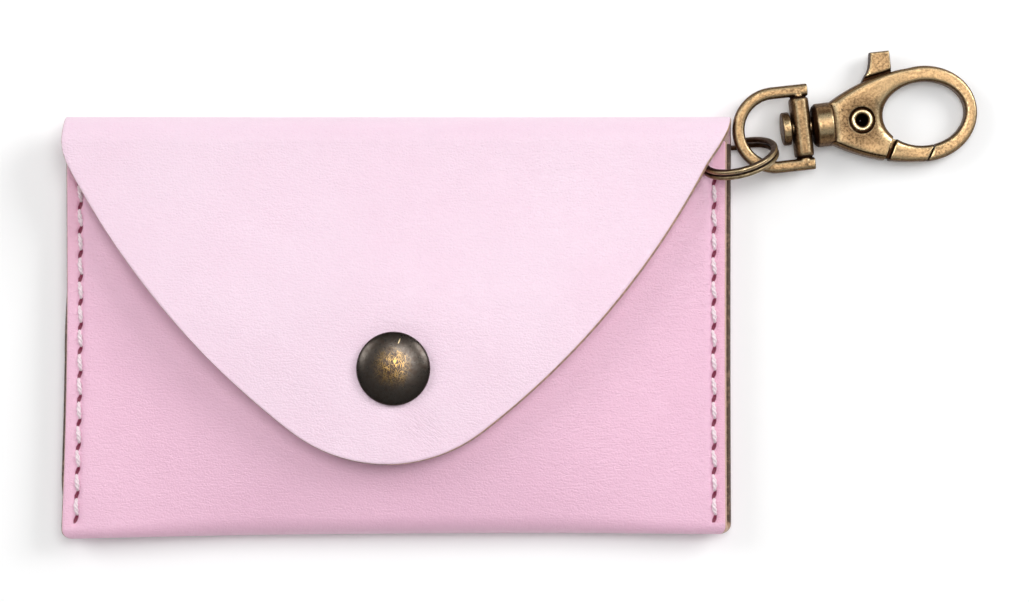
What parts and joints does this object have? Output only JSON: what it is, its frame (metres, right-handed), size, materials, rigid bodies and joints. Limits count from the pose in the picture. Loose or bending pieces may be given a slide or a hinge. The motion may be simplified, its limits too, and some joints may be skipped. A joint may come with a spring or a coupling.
{
  "type": "pick holder",
  "caption": "Folded leather pouch with stitched sides, an envelope flap with a press snap, and a swivel lobster clasp on a split ring.",
  "frame": {"origin": "middle of the flat of the back panel, on the plane that the pouch lies on", "axes": "+X to the right along the pouch's width, towards the clasp; +Y to the top fold; +Z out of the front, towards the flap"},
  "size_m": [0.1371, 0.0731, 0.0143],
  "materials": {
    "leather": "smooth satin, painted brown cut edges",
    "thread": "waxed polyester, slightly fuzzy",
    "antique_brass": "antique, dark in the recesses and rubbed bright on the edges",
    "spring_steel": "drawn wire"
  },
  "bodies": {
    "pocket": {"pocket": "leather", "left_needle_thread": "thread", "left_bobbin_thread": "thread", "right_needle_thread": "thread", "right_bobbin_thread": "thread", "snap_stud": "antique_brass", "snap_post": "antique_brass"},
    "flap": {"flap": "leather", "flap_fold": "leather", "snap_cap": "antique_brass", "snap_socket": "antique_brass", "snap_spring": "spring_steel"},
    "ring": {"split_ring": "antique_brass"},
    "loop": {"swivel_loop": "antique_brass"},
    "clasp": {"clasp_body": "antique_brass", "gate_rivet": "antique_brass", "gate_spring": "spring_steel"},
    "gate": {"gate_lever": "antique_brass"}
  },
  "joints": [
    {"name": "flap_hinge", "type": "hinge", "parent": "pocket", "child": "flap", "pos_m": [0, 0.0275, 0.00495], "axis": [-1, 0, 0], "range_deg": [0, 170], "deforming": ["flap_fold", "snap_spring"]},
    {"name": "ring_spin", "type": "hinge", "parent": "pocket", "child": "ring", "pos_m": [0.05132, 0.02527, 0.0059], "axis": [0.2478, -0.8793, -0.4067], "range_deg": [0, 90]},
    {"name": "loop_slide", "type": "slide", "parent": "ring", "child": "loop", "axis": [0.9936, 0.1132, 0], "range_m": [0, 0.002]},
    {"name": "clasp_swivel", "type": "hinge", "parent": "loop", "child": "clasp", "pos_m": [0.06952, 0.03102, 0.003], "axis": [0.9909, 0.1129, -0.0732], "continuous": true},
    {"name": "gate_hinge", "type": "hinge", "parent": "clasp", "child": "gate", "pos_m": [0.06952, 0.03102, 0.003], "axis": [0.0728, 0.0083, 0.9973], "range_deg": [0, 25], "stiffness_Nm_per_rad": 0.003, "springref_deg": -28.65, "deforming": ["gate_spring"]}
  ]
}
